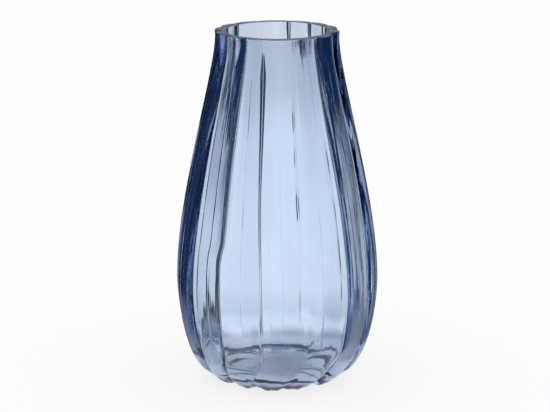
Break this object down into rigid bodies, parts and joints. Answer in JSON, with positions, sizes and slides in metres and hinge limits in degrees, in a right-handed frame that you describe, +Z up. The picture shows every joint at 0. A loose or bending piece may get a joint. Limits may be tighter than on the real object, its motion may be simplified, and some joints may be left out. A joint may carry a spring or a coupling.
{
  "type": "fluted glass vase",
  "caption": "Pear-shaped thick glass vase with rounded vertical flutes, a cut flat rim and a ring of small rounded foot knobs.",
  "frame": {"origin": "on the vase's axis, at the level of the table it stands on", "axes": "+Z up along the axis from the foot to the rim; the vase looks alike from all sides, so X and Y only fix where its flutes lie"},
  "size_m": [0.1452, 0.1438, 0.25],
  "materials": {
    "blue_glass": "clear blue-grey glass tinted in the mass, fire-polished outside, with a cut and polished rim"
  },
  "bodies": {
    "root": {"neck": "blue_glass", "shoulder": "blue_glass", "belly": "blue_glass", "heel": "blue_glass", "foot_knob_01": "blue_glass", "foot_knob_02": "blue_glass", "foot_knob_03": "blue_glass", "foot_knob_04": "blue_glass", "foot_knob_05": "blue_glass", "foot_knob_06": "blue_glass", "foot_knob_07": "blue_glass", "foot_knob_08": "blue_glass", "foot_knob_09": "blue_glass", "foot_knob_10": "blue_glass", "foot_knob_11": "blue_glass", "foot_knob_12": "blue_glass", "foot_knob_13": "blue_glass", "foot_knob_14": "blue_glass"}
  },
  "joints": []
}
